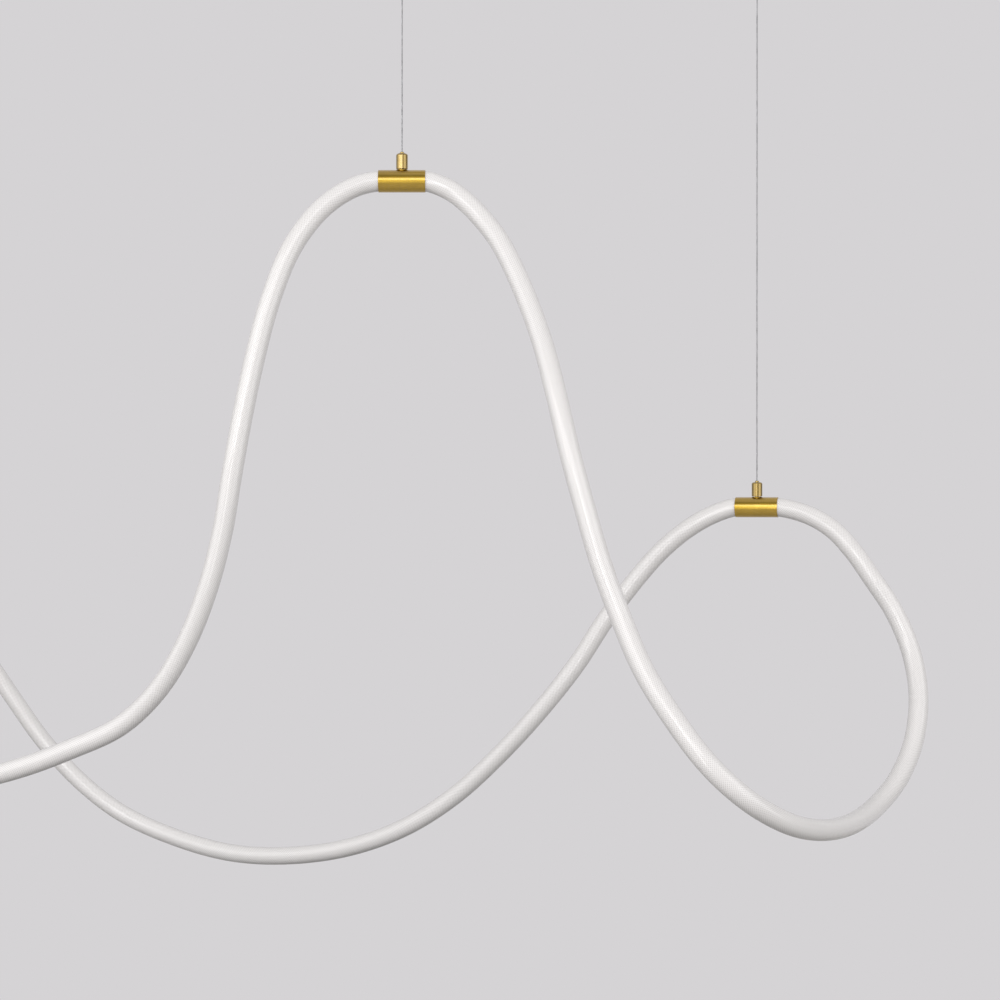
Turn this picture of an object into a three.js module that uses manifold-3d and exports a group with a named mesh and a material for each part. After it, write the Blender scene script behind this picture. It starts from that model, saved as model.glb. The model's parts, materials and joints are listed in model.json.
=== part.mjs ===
// A flexible light tube that hangs in loose loops from three steel wires.
// Each wire ends in a ball-and-taper gripper on a brass sleeve round the tube, and in a ceiling fitting.
// Units are millimetres. +Z is up, and the origin is the middle of the first ceiling plate's top face.

import * as THREE from 'three';
import { mergeVertices } from 'three/addons/utils/BufferGeometryUtils.js';
import Module from 'manifold-3d';

// ---------------------------------------------------------------- driving dimensions

const TOUCH_GAP = 0.3;              // between pieces that touch

// Light tube: an opal silicone body with a channel along its middle for the LED spine
const TUBE_DIAMETER = 20.6;
const SPINE_DIAMETER = 6;           // the LED spine, square, across its corners
const SPINE_CLEARANCE = 0.8;        // between the spine's corners and the channel's
const STATIONS_PER_POINT = 1.35;    // sections of the tube for each point of its route
const TUBE_SIDES = 16;
const CHANNEL_SIDES = 4;

// Facets round a turned piece: a wide one, a plain one, and a small or hidden one
const WIDE_ROUND = 24;
const ROUND = 16;
const SMALL_ROUND = 8;

// Brass holder sleeve and the joiner inside it
const SLEEVE_LENGTH = 47;
const SLEEVE_WALL = 0.6;
const SLEEVE_EDGE = 0.35;           // chamfer on its outer rims
const BOSS_DIAMETER = 10.4;         // the neck that the gripper stands on
const BOSS_RISE = 0.5;              // neck above the top of the sleeve
const JOINER_LENGTH = 16;
const TONGUE_LENGTH = 6;            // contact tongue into each tube end
const TONGUE_DIAMETER = 4;
const MOUTH_RUN = 1;                // straight run of the tube outside the sleeve's mouth

// Stud and plug that tie the gripper to the sleeve
const STUD_DIAMETER = 4;
const STUD_HEAD_DIAMETER = 6.4;     // upper head, inside the gripper
const STUD_HEAD_HEIGHT = 1;
const STUD_FOOT_DIAMETER = 7;       // lower flange, inside the sleeve
const STUD_FOOT_HEIGHT = 1.4;
const PLUG_WALL = 1.3;
const PLUG_HEIGHT = 2.6;

// Wire gripper
const GRIPPER_DIAMETER = 11.8;
const GRIPPER_WALL = 2;             // round the plug
const GRIPPER_SHOULDER = 13.5;      // height of the straight side
const DOME_RISE = 2.2;
const DOME_RUN = 2.6;
const DOME_STEPS = 3;
const TAPER_NARROWING = 0.9;        // the ball taper closes by this much, on the radius
const ROOF_THICKNESS = 1.4;         // above the taper
const NOSE_DIAMETER = 4.4;
const NOSE_RISE = 1.6;              // above the top of the body
const NOSE_TRAVEL = 1.2;
const SPRING_HEIGHT = 4.8;
const SPRING_WIRE = 0.45;
const SPRING_TURNS = 4;
const SPRING_SIDES = 3;
const BALL_DIAMETER = 2;
const BALL_COUNT = 3;
const BALL_DROP = 1.9;              // below the top of the cage

// Suspension wire
const WIRE_DIAMETER = 1.5;
const FERRULE_WALL = 1.3;
const FERRULE_HEIGHT = 2.6;

// Ceiling fitting
const PLATE_DIAMETER = 38;
const PLATE_THICKNESS = 2.5;
const PLATE_HOLE_DIAMETER = 4.4;
const PLATE_HOLE_SPACING = 26;
const HUB_DIAMETER = 13;
const HUB_HEIGHT = 7.5;
const HUB_BORE = 8.6;
const HUB_ROOF = 2;                 // solid metal above the hub's bore
const NIPPLE_THREAD_HEIGHT = 4.8;
const NIPPLE_FLANGE_DIAMETER = 10.4;
const NIPPLE_FLANGE_HEIGHT = 2.2;
const NIPPLE_COLLAR_DIAMETER = 8;
const NIPPLE_COLLAR_HEIGHT = 3;
const NIPPLE_TIP_DIAMETER = 4.4;
const NIPPLE_TIP_HEIGHT = 4.5;
const CAP_DIAMETER = 44;
const CAP_WALL = 1.2;
const CAP_ROUND = 3;                // radius of its lower outer edge
const CAP_STEPS = 2;
const CAP_RIM_GAP = 0.4;            // between the cap's rim and the ceiling

// Feed gland, under the third holder
const GLAND_BORE = 5;
const GLAND_WALL = 0.9;
const GLAND_FLANGE_DIAMETER = 12;
const GLAND_FLANGE_HEIGHT = 2;
const GLAND_THREAD_HEIGHT = 5;
const GLAND_NUT_HEIGHT = 8;
const GLAND_NUT_DIAMETER = 11;
const GLAND_NUT_TIP = 8;

// The layout. Places are from the first holder's centre, in thousandths of HANG_SIZE.
const FIRST_DROP = 306.3;           // from the ceiling to the first holder's centre
const HANG_SIZE = 1000;
const THOUSANDTH = HANG_SIZE / 1000;

// Holder centres, and the turn of each sleeve about the vertical
const HOLDERS = [
  { at: [0, 0, 0], turn: 0 },
  { at: [382, 210, -326.7], turn: -16 },
  { at: [-660, 468, -438.7], turn: 20 },
];

// Where the tube's free lengths run between the holders' mouths
const RIGHT_ROUTE = [
  [46.5, -2, -8.4], [61, -6, -19], [77, -14, -35.6], [97.5, -27, -63.6], [119.5, -45, -110.5],
  [138.6, -65, -164.9], [152.4, -85, -220.1], [164.5, -100, -274.1], [178.3, -110, -326.8],
  [192.9, -120, -378.9], [211, -132, -428.9], [231.3, -148, -477], [258.1, -165, -520.6],
  [288.6, -178, -560.5], [322, -176, -591.2], [361, -152, -616.2], [397.3, -115, -629.7],
  [437, -62, -633.2], [476.9, 2, -622.7], [508, 47, -599.7], [530, 84, -565.7], [540, 113, -523.7],
  [536, 134, -478.7], [520, 147, -436.7], [500, 154, -404.7], [479.6, 163, -373.7], [460.7, 174, -351.5],
  [437, 188, -335.8],
];
const BACK_ROUTE = [
  [334, 222, -335], [306.7, 227, -351], [282.5, 232, -371.2], [259.7, 238, -396], [219.4, 247, -449.1],
  [183.7, 255, -504.7], [142.2, 265, -558.3], [96.9, 280, -609.4], [46.3, 298, -658], [-12, 317, -697.7],
  [-78.7, 341, -725.2], [-150.9, 371, -740.2], [-224.9, 408, -743.5], [-299.3, 444, -730.7],
  [-371.3, 470, -704], [-428, 485, -663.7], [-473, 492, -615.7], [-511, 494, -562.7],
  [-545, 493, -512.7], [-577, 489, -472.7], [-606, 483, -447.7],
];
const LEFT_ROUTE = [
  [-712, 447, -445.7], [-740, 422, -464.7], [-762, 381, -492.7], [-773, 325, -523.7],
  [-768, 265, -553.7], [-743, 208, -578.7], [-700, 158, -597.7], [-645, 122, -610.7], [-580, 96, -616.7],
  [-515, 72, -615.7], [-450, 48, -606.7], [-390, 27, -590.7], [-335, 12, -569.7], [-282, 0, -544.7],
  [-241.9, -13, -507.3], [-211.1, -25, -458.4], [-188.9, -34, -404.2], [-174.1, -39, -349.1],
  [-164.6, -40, -292.2], [-154.9, -36, -235.7], [-143.5, -31, -178.8], [-129.3, -25, -122.7],
  [-108.1, -18, -68.2], [-79, -11, -28.6], [-48.5, -4, -6.8],
];

// ---------------------------------------------------------------- sizes worked out from them

const SLEEVE_INNER = TUBE_DIAMETER / 2 + TOUCH_GAP;
const SLEEVE_OUTER = SLEEVE_INNER + SLEEVE_WALL;
const BOSS_TOP = SLEEVE_OUTER + BOSS_RISE;
const CHANNEL_RADIUS = SPINE_DIAMETER / 2 + SPINE_CLEARANCE;
const TUBE_END = JOINER_LENGTH / 2 + TOUCH_GAP;       // from the holder's centre to the tube's end

// Stud foot: its top edge stays under the curve of the sleeve's bore
const FOOT_RADIUS = STUD_FOOT_DIAMETER / 2;
const FOOT_TOP = Math.sqrt(SLEEVE_INNER ** 2 - FOOT_RADIUS ** 2) - TOUCH_GAP;
const FOOT_BOTTOM = FOOT_TOP - STUD_FOOT_HEIGHT;
const STUD_HOLE_RADIUS = STUD_DIAMETER / 2 + TOUCH_GAP;

// Heights above the holder's centre, from the neck up
const BODY_BOTTOM = BOSS_TOP + TOUCH_GAP;
const STUD_HEAD_BOTTOM = BODY_BOTTOM + PLUG_HEIGHT + TOUCH_GAP;
const STUD_TOP = STUD_HEAD_BOTTOM + STUD_HEAD_HEIGHT;
const SPRING_BOTTOM = STUD_TOP + TOUCH_GAP;
const CAGE_BOTTOM = SPRING_BOTTOM + SPRING_HEIGHT + TOUCH_GAP;
const SHOULDER = BODY_BOTTOM + GRIPPER_SHOULDER;
const BODY_TOP = SHOULDER + DOME_RISE;
const ROOF = BODY_TOP - ROOF_THICKNESS;
const CAGE_TOP = ROOF - TOUCH_GAP;
const NOSE_TOP = BODY_TOP + NOSE_RISE;
const BALL_HEIGHT = CAGE_TOP - BALL_DROP;
const WIRE_BOTTOM = STUD_TOP + TOUCH_GAP;

// Radii inside the gripper
const WIRE_RADIUS = WIRE_DIAMETER / 2;
const WIRE_HOLE_RADIUS = WIRE_RADIUS + TOUCH_GAP;
const BALL_RADIUS = BALL_DIAMETER / 2;
const BALL_CIRCLE = WIRE_RADIUS + TOUCH_GAP + BALL_RADIUS;
const NOSE_RADIUS = NOSE_DIAMETER / 2;
const NOSE_HOLE_RADIUS = NOSE_RADIUS + TOUCH_GAP;
const CAGE_RADIUS = NOSE_HOLE_RADIUS + TOUCH_GAP;
const BODY_BORE = GRIPPER_DIAMETER / 2 - GRIPPER_WALL;
const TAPER_TOP_RADIUS = BODY_BORE - TAPER_NARROWING;
const PLUG_INNER = STUD_DIAMETER / 2 + TOUCH_GAP;
const SPRING_RADIUS = WIRE_HOLE_RADIUS + TOUCH_GAP + SPRING_WIRE / 2;

// Ceiling fitting, downwards from the ceiling at 0
const HUB_BOTTOM = -PLATE_THICKNESS - HUB_HEIGHT;
const NIPPLE_FLANGE_TOP = HUB_BOTTOM - TOUCH_GAP;
const NIPPLE_FLANGE_BOTTOM = NIPPLE_FLANGE_TOP - NIPPLE_FLANGE_HEIGHT;
const NIPPLE_TOP = HUB_BOTTOM + NIPPLE_THREAD_HEIGHT;
const FERRULE_BOTTOM = NIPPLE_TOP + TOUCH_GAP;
const CAP_FLOOR = NIPPLE_FLANGE_BOTTOM - TOUCH_GAP;
const CAP_BOTTOM = CAP_FLOOR - CAP_WALL;

// ---------------------------------------------------------------- materials

const brass = new THREE.MeshStandardMaterial({ color: 0xb8893b, metalness: 1, roughness: 0.28 });
const steel = new THREE.MeshStandardMaterial({ color: 0x9a9a9c, metalness: 1, roughness: 0.35 });
const springSteel = new THREE.MeshStandardMaterial({ color: 0x77777a, metalness: 1, roughness: 0.4 });
const silicone = new THREE.MeshStandardMaterial({ color: 0xf7f7f4, metalness: 0, roughness: 0.3 });
const ledStrip = new THREE.MeshStandardMaterial({ color: 0xe9dca0, metalness: 0, roughness: 0.5 });
const joinerPlastic = new THREE.MeshStandardMaterial({ color: 0xdcdcd8, metalness: 0, roughness: 0.5 });
const glandPlastic = new THREE.MeshStandardMaterial({ color: 0xd0d0cc, metalness: 0, roughness: 0.5 });

// ---------------------------------------------------------------- solids

const wasm = await Module();
wasm.setup();

/** A closed three.js geometry as a manifold solid. */
function toSolid(geometry) {
  const bare = geometry.clone();
  bare.deleteAttribute('normal');
  bare.deleteAttribute('uv');
  const merged = mergeVertices(bare, 1e-4);
  return new wasm.Manifold(new wasm.Mesh({
    numProp: 3,
    vertProperties: new Float32Array(merged.attributes.position.array),
    triVerts: new Uint32Array(merged.index.array),
  }));
}

/** A manifold solid as a three.js geometry. */
function toGeometry(solid) {
  const mesh = solid.getMesh();
  const geometry = new THREE.BufferGeometry();
  geometry.setAttribute('position', new THREE.BufferAttribute(mesh.vertProperties, 3));
  geometry.setIndex(new THREE.BufferAttribute(mesh.triVerts, 1));
  geometry.computeVertexNormals();
  return geometry;
}

/** A solid turned about Z from [radius, height] corners that go round it anticlockwise. */
function turned(corners, segments) {
  const profile = corners.map(([radius, height]) => new THREE.Vector2(radius, height));
  profile.push(profile[0].clone());
  return new THREE.LatheGeometry(profile, segments).rotateX(Math.PI / 2);
}

/** A quarter of an ellipse about a middle, from a start angle in degrees, as [radius, height] corners. */
function quarterRound([middleRadius, middleHeight], [run, rise], start, steps) {
  return Array.from({ length: steps + 1 }, (_, k) => {
    const angle = THREE.MathUtils.degToRad(start + (90 * k) / steps);
    return [middleRadius + run * Math.cos(angle), middleHeight + rise * Math.sin(angle)];
  });
}

/** A cylinder along Z between two heights. */
function rod(radius, low, high, segments) {
  const geometry = new THREE.CylinderGeometry(radius, radius, high - low, segments);
  return geometry.rotateX(Math.PI / 2).translate(0, 0, (low + high) / 2);
}

/** A ring of four corners, the section of a plain tube. */
function ring(inner, outer, low, high) {
  return [[inner, low], [outer, low], [outer, high], [inner, high]];
}

function piece(name, geometry, material) {
  const mesh = new THREE.Mesh(geometry, material);
  mesh.name = name;
  return mesh;
}

// ---------------------------------------------------------------- light tube

/** One stretch of a curve, between two of its parameters. */
class Stretch extends THREE.Curve {
  constructor(curve, from, to) {
    super();
    Object.assign(this, { curve, from, to });
  }

  getPoint(t, target = new THREE.Vector3()) {
    return this.curve.getPoint(THREE.MathUtils.lerp(this.from, this.to, t), target);
  }
}

/** A tube's route: straight in each holder, and through the route's points between the two mouths. */
class TubeRoute extends THREE.Curve {
  constructor(start, startMouth, points, endMouth, end) {
    super();
    const all = [start, startMouth, ...points, endMouth, end];
    const whole = new THREE.CatmullRomCurve3(all, false, 'centripetal');
    const share = 1 / (all.length - 1);
    Object.assign(this, { start, startMouth, endMouth, end });
    this.free = new Stretch(whole, share, 1 - share);
    this.freeStations = Math.round((all.length - 3) * STATIONS_PER_POINT);
    this.stations = this.freeStations + 2;
  }

  getPoint(t, target = new THREE.Vector3()) {
    const station = t * this.stations;
    if (station <= 1) {
      return target.lerpVectors(this.start, this.startMouth, station);
    }
    if (station >= this.stations - 1) {
      return target.lerpVectors(this.endMouth, this.end, station - this.stations + 1);
    }
    return this.free.getPoint((station - 1) / this.freeStations, target);
  }

  // The stations are the sections of the tube, so they are used as they are and not spread evenly.
  getPointAt(t, target) {
    return this.getPoint(t, target);
  }

  getTangentAt(t, target) {
    return this.getTangent(t, target);
  }
}

/** A regular outline with its corners on a circle, and a hole of another such outline if asked. */
function outline(radius, sides, holeRadius = 0, holeSides = 0) {
  const corners = (r, n) => Array.from({ length: n }, (_, k) => {
    const angle = (2 * Math.PI * (k + 0.5)) / n;
    return new THREE.Vector2(r * Math.cos(angle), r * Math.sin(angle));
  });
  const shape = new THREE.Shape(corners(radius, sides));
  if (holeSides > 0) {
    shape.holes.push(new THREE.Path(corners(holeRadius, holeSides)));
  }
  return shape;
}

function swept(shape, route) {
  return new THREE.ExtrudeGeometry(shape, { extrudePath: route, steps: route.stations });
}

/** A place of the layout, as a point under the ceiling. */
function layoutPoint(place) {
  const point = new THREE.Vector3(...place).multiplyScalar(THOUSANDTH);
  point.z -= FIRST_DROP;
  return point;
}

const holderFrames = HOLDERS.map(({ at, turn }) => {
  const angle = THREE.MathUtils.degToRad(turn);
  return {
    centre: layoutPoint(at),
    along: new THREE.Vector3(Math.cos(angle), Math.sin(angle), 0),
    angle,
  };
});

/** The tube's route from one holder to another; a side of +1 leaves or meets it at its +X mouth. */
function routeBetween(from, fromSide, points, to, toSide, inset = 0) {
  const reach = (frame, side, distance) =>
    frame.centre.clone().addScaledVector(frame.along, side * distance);
  const mouth = SLEEVE_LENGTH / 2 + MOUTH_RUN;
  return new TubeRoute(
    reach(from, fromSide, TUBE_END + inset),
    reach(from, fromSide, mouth),
    points.map(layoutPoint),
    reach(to, toSide, mouth),
    reach(to, toSide, TUBE_END + inset),
  );
}

function tubeLength(name, ...ends) {
  const route = routeBetween(...ends);
  const spineRoute = routeBetween(...ends, TONGUE_LENGTH + TOUCH_GAP);
  const section = outline(TUBE_DIAMETER / 2, TUBE_SIDES, CHANNEL_RADIUS, CHANNEL_SIDES);
  return [
    piece(`light_tube_${name}`, swept(section, route), silicone),
    piece(`led_spine_${name}`, swept(outline(SPINE_DIAMETER / 2, CHANNEL_SIDES), spineRoute), ledStrip),
  ];
}

// ---------------------------------------------------------------- holder

/** The brass sleeve along X, with the neck for the gripper and, if asked, one below for the feed. */
function holderSleeve(hasFeed) {
  const half = SLEEVE_LENGTH / 2;
  const shell = turned([
    [SLEEVE_INNER, -half],
    [SLEEVE_OUTER - SLEEVE_EDGE, -half],
    [SLEEVE_OUTER, -half + SLEEVE_EDGE],
    [SLEEVE_OUTER, half - SLEEVE_EDGE],
    [SLEEVE_OUTER - SLEEVE_EDGE, half],
    [SLEEVE_INNER, half],
  ], WIDE_ROUND).rotateY(Math.PI / 2);
  const bore = toSolid(rod(SLEEVE_INNER, -half - 1, half + 1, WIDE_ROUND).rotateY(Math.PI / 2));
  let solid = toSolid(shell);
  const boss = toSolid(rod(BOSS_DIAMETER / 2, 0, BOSS_TOP, ROUND)).subtract(bore);
  solid = solid.add(boss).subtract(toSolid(rod(STUD_HOLE_RADIUS, 0, BOSS_TOP + 1, SMALL_ROUND)));
  if (hasFeed) {
    const feedBoss = toSolid(rod(GLAND_FLANGE_DIAMETER / 2, -BOSS_TOP, 0, ROUND)).subtract(bore);
    const feedHole = GLAND_BORE / 2 + GLAND_WALL + TOUCH_GAP;
    solid = solid.add(feedBoss).subtract(toSolid(rod(feedHole, -BOSS_TOP - 1, 0, ROUND)));
  }
  return toGeometry(solid);
}

/** The joiner that fills the sleeve between two tube ends, with a contact tongue into each. */
function tubeJoiner(hasFeed) {
  const half = JOINER_LENGTH / 2;
  const tip = half + TONGUE_LENGTH;
  const radius = TUBE_DIAMETER / 2;
  const tongue = TONGUE_DIAMETER / 2;
  const body = turned([
    [0, -tip], [tongue, -tip], [tongue, -half], [radius, -half],
    [radius, half], [tongue, half], [tongue, tip], [0, tip],
  ], ROUND).rotateY(Math.PI / 2);
  let solid = toSolid(body);
  const footPocket = rod(FOOT_RADIUS + TOUCH_GAP, FOOT_BOTTOM - TOUCH_GAP, SLEEVE_INNER, SMALL_ROUND);
  solid = solid.subtract(toSolid(footPocket));
  if (hasFeed) {
    const glandRadius = GLAND_BORE / 2 + GLAND_WALL + TOUCH_GAP;
    const glandPocket = rod(glandRadius, -SLEEVE_INNER, GLAND_THREAD_TOP + TOUCH_GAP, ROUND);
    solid = solid.subtract(toSolid(glandPocket));
  }
  return toGeometry(solid);
}

/** The stud: its foot sits in the joiner under the sleeve's wall, its head is held by the plug. */
function gripperStud() {
  const shank = STUD_DIAMETER / 2;
  const head = STUD_HEAD_DIAMETER / 2;
  return turned([
    [0, FOOT_BOTTOM], [FOOT_RADIUS, FOOT_BOTTOM], [FOOT_RADIUS, FOOT_TOP], [shank, FOOT_TOP],
    [shank, STUD_HEAD_BOTTOM], [head, STUD_HEAD_BOTTOM], [head, STUD_TOP], [0, STUD_TOP],
  ], SMALL_ROUND);
}

function gripperPlug() {
  const outer = PLUG_INNER + PLUG_WALL;
  return turned(ring(PLUG_INNER, outer, BODY_BOTTOM, BODY_BOTTOM + PLUG_HEIGHT), SMALL_ROUND);
}

/** The gripper's body: bored from below, with the taper that wedges the balls, and a hole for the nose. */
function gripperBody() {
  const outer = GRIPPER_DIAMETER / 2;
  return turned([
    [BODY_BORE, BODY_BOTTOM],
    [outer, BODY_BOTTOM],
    ...quarterRound([outer - DOME_RUN, SHOULDER], [DOME_RUN, DOME_RISE], 0, DOME_STEPS),
    [NOSE_HOLE_RADIUS, BODY_TOP],
    [NOSE_HOLE_RADIUS, ROOF],
    [TAPER_TOP_RADIUS, ROOF],
    [BODY_BORE, CAGE_BOTTOM - NOSE_TRAVEL],
  ], ROUND);
}

/** The ball cage and release nose in one, with a round window for each ball. */
function gripCage() {
  const edge = NOSE_RADIUS - WIRE_HOLE_RADIUS - TOUCH_GAP;
  const body = turned([
    [WIRE_HOLE_RADIUS, CAGE_BOTTOM],
    [CAGE_RADIUS, CAGE_BOTTOM],
    [CAGE_RADIUS, CAGE_TOP],
    [NOSE_RADIUS, CAGE_TOP],
    [NOSE_RADIUS, NOSE_TOP - edge],
    [NOSE_RADIUS - edge, NOSE_TOP],
    [WIRE_HOLE_RADIUS, NOSE_TOP],
  ], ROUND);
  let solid = toSolid(body);
  for (let k = 0; k < BALL_COUNT; k += 1) {
    const window = rod(BALL_RADIUS + TOUCH_GAP, 0, CAGE_RADIUS + 1, SMALL_ROUND).rotateY(Math.PI / 2);
    window.rotateZ(ballAngle(k)).translate(0, 0, BALL_HEIGHT);
    solid = solid.subtract(toSolid(window));
  }
  return toGeometry(solid);
}

function ballAngle(k) {
  return (2 * Math.PI * k) / BALL_COUNT;
}

function gripBall(k) {
  const angle = ballAngle(k);
  return new THREE.SphereGeometry(BALL_RADIUS, SMALL_ROUND, SMALL_ROUND / 2)
    .translate(BALL_CIRCLE * Math.cos(angle), BALL_CIRCLE * Math.sin(angle), BALL_HEIGHT);
}

/** The return spring, a helix round the wire between the stud's head and the cage. */
class Helix extends THREE.Curve {
  getPoint(t, target = new THREE.Vector3()) {
    const angle = 2 * Math.PI * SPRING_TURNS * t;
    const rise = SPRING_HEIGHT - SPRING_WIRE;
    return target.set(
      SPRING_RADIUS * Math.cos(angle),
      SPRING_RADIUS * Math.sin(angle),
      SPRING_BOTTOM + SPRING_WIRE / 2 + rise * t,
    );
  }
}

function gripSpring() {
  return new THREE.ExtrudeGeometry(outline(SPRING_WIRE / 2, SPRING_SIDES), {
    extrudePath: new Helix(),
    steps: SPRING_TURNS * SMALL_ROUND,
  });
}

// ---------------------------------------------------------------- ceiling fitting

/** The plate against the ceiling, its top face whole at the middle, with a hub bored from below. */
function ceilingPlate() {
  const body = turned([
    [0, 0], [0, -HUB_ROOF], [HUB_BORE / 2, -HUB_ROOF], [HUB_BORE / 2, HUB_BOTTOM],
    [HUB_DIAMETER / 2, HUB_BOTTOM], [HUB_DIAMETER / 2, -PLATE_THICKNESS],
    [PLATE_DIAMETER / 2, -PLATE_THICKNESS], [PLATE_DIAMETER / 2, 0],
  ], ROUND);
  let solid = toSolid(body);
  for (const side of [-1, 1]) {
    const hole = rod(PLATE_HOLE_DIAMETER / 2, -PLATE_THICKNESS - 1, 1, SMALL_ROUND);
    hole.translate((side * PLATE_HOLE_SPACING) / 2, 0, 0);
    solid = solid.subtract(toSolid(hole));
  }
  return toGeometry(solid);
}

/** The nipple that screws up into the hub and carries the ferrule on its top. */
function ceilingNipple() {
  const collarBottom = NIPPLE_FLANGE_BOTTOM - NIPPLE_COLLAR_HEIGHT;
  const thread = HUB_BORE / 2 - TOUCH_GAP;
  return turned([
    [WIRE_HOLE_RADIUS, NIPPLE_TOP],
    [WIRE_HOLE_RADIUS, collarBottom - NIPPLE_TIP_HEIGHT],
    [NIPPLE_TIP_DIAMETER / 2, collarBottom - NIPPLE_TIP_HEIGHT],
    [NIPPLE_COLLAR_DIAMETER / 2, collarBottom],
    [NIPPLE_COLLAR_DIAMETER / 2, NIPPLE_FLANGE_BOTTOM],
    [NIPPLE_FLANGE_DIAMETER / 2, NIPPLE_FLANGE_BOTTOM],
    [NIPPLE_FLANGE_DIAMETER / 2, NIPPLE_FLANGE_TOP],
    [thread, NIPPLE_FLANGE_TOP],
    [thread, NIPPLE_TOP],
  ], SMALL_ROUND);
}

function wireFerrule() {
  const outer = WIRE_HOLE_RADIUS + FERRULE_WALL;
  return turned(ring(WIRE_HOLE_RADIUS, outer, FERRULE_BOTTOM, FERRULE_BOTTOM + FERRULE_HEIGHT), SMALL_ROUND);
}

/** The cup that hides the plate. It slides down the wire past the nipple. */
function ceilingCap() {
  const outer = CAP_DIAMETER / 2;
  const hole = NIPPLE_COLLAR_DIAMETER / 2 + TOUCH_GAP;
  const middle = [outer - CAP_ROUND, CAP_BOTTOM + CAP_ROUND];
  return turned([
    [hole, CAP_BOTTOM],
    ...quarterRound(middle, [CAP_ROUND, CAP_ROUND], -90, CAP_STEPS),
    [outer, -CAP_RIM_GAP],
    [outer - CAP_WALL, -CAP_RIM_GAP],
    [outer - CAP_WALL, CAP_FLOOR + CAP_ROUND - CAP_WALL],
    [outer - CAP_ROUND, CAP_FLOOR],
    [hole, CAP_FLOOR],
  ], ROUND);
}

// ---------------------------------------------------------------- feed gland

const GLAND_FLANGE_TOP = -BOSS_TOP - TOUCH_GAP;
const GLAND_FLANGE_BOTTOM = GLAND_FLANGE_TOP - GLAND_FLANGE_HEIGHT;
const GLAND_THREAD_TOP = GLAND_FLANGE_TOP + GLAND_THREAD_HEIGHT;
const GLAND_NUT_TOP = GLAND_FLANGE_BOTTOM - TOUCH_GAP;

function feedGland() {
  const bore = GLAND_BORE / 2;
  const thread = bore + GLAND_WALL;
  const stemBottom = GLAND_NUT_TOP - GLAND_NUT_HEIGHT / 2;
  return turned([
    [bore, stemBottom], [thread, stemBottom],
    [thread, GLAND_FLANGE_BOTTOM], [GLAND_FLANGE_DIAMETER / 2, GLAND_FLANGE_BOTTOM],
    [GLAND_FLANGE_DIAMETER / 2, GLAND_FLANGE_TOP], [thread, GLAND_FLANGE_TOP],
    [thread, GLAND_THREAD_TOP], [bore, GLAND_THREAD_TOP],
  ], SMALL_ROUND);
}

function feedGlandNut() {
  const bore = GLAND_BORE / 2 + GLAND_WALL + TOUCH_GAP;
  const bottom = GLAND_NUT_TOP - GLAND_NUT_HEIGHT;
  const seat = GLAND_NUT_TOP - GLAND_NUT_HEIGHT / 2 - TOUCH_GAP;
  const mouth = GLAND_BORE / 2;
  return turned([
    [mouth, bottom], [GLAND_NUT_TIP / 2, bottom],
    [GLAND_NUT_DIAMETER / 2, seat], [GLAND_NUT_DIAMETER / 2, GLAND_NUT_TOP],
    [bore, GLAND_NUT_TOP], [bore, seat], [mouth, seat],
  ], ROUND);
}

// ---------------------------------------------------------------- assembly

/** Everything on one wire: holder, gripper, wire and ceiling fitting. */
function suspension(frame, number, hasFeed) {
  const group = new THREE.Group();

  const holder = new THREE.Group();
  holder.position.copy(frame.centre);
  holder.rotation.z = frame.angle;
  holder.add(
    piece(`holder_sleeve_${number}`, holderSleeve(hasFeed), brass),
    piece(`tube_joiner_${number}`, tubeJoiner(hasFeed), joinerPlastic),
    piece(`gripper_stud_${number}`, gripperStud(), steel),
    piece(`gripper_plug_${number}`, gripperPlug(), brass),
    piece(`gripper_body_${number}`, gripperBody(), brass),
    piece(`grip_cage_${number}`, gripCage(), brass),
    piece(`grip_spring_${number}`, gripSpring(), springSteel),
  );
  for (let k = 0; k < BALL_COUNT; k += 1) {
    holder.add(piece(`grip_ball_${number}_${k + 1}`, gripBall(k), steel));
  }
  if (hasFeed) {
    holder.add(
      piece('feed_gland', feedGland(), glandPlastic),
      piece('feed_gland_nut', feedGlandNut(), glandPlastic),
    );
  }
  group.add(holder);

  const wireTop = FERRULE_BOTTOM + FERRULE_HEIGHT;
  const wireLow = frame.centre.z + WIRE_BOTTOM;
  const ceiling = new THREE.Group();
  ceiling.position.set(frame.centre.x, frame.centre.y, 0);
  ceiling.add(
    piece(`wire_${number}`, rod(WIRE_RADIUS, wireLow, wireTop, SMALL_ROUND), steel),
    piece(`wire_ferrule_${number}`, wireFerrule(), steel),
    piece(`ceiling_plate_${number}`, ceilingPlate(), steel),
    piece(`ceiling_nipple_${number}`, ceilingNipple(), brass),
    piece(`ceiling_cap_${number}`, ceilingCap(), brass),
  );
  group.add(ceiling);
  return group;
}

const lamp = new THREE.Group();
const [first, second, third] = holderFrames;
lamp.add(
  suspension(first, 1, false),
  suspension(second, 2, false),
  suspension(third, 3, true),
  ...tubeLength('right', first, 1, RIGHT_ROUTE, second, 1),
  ...tubeLength('back', second, -1, BACK_ROUTE, third, 1),
  ...tubeLength('left', third, -1, LEFT_ROUTE, first, -1),
);

export default lamp;
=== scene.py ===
"""Looks of a suspended flexible light tube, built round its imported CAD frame.

Units are metres, in the CAD frame: +Z is up, and the origin is on the ceiling at the first wire.
"""
import json
import math

import bmesh
import bpy
import numpy as np
from mathutils import Matrix, Vector


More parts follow.
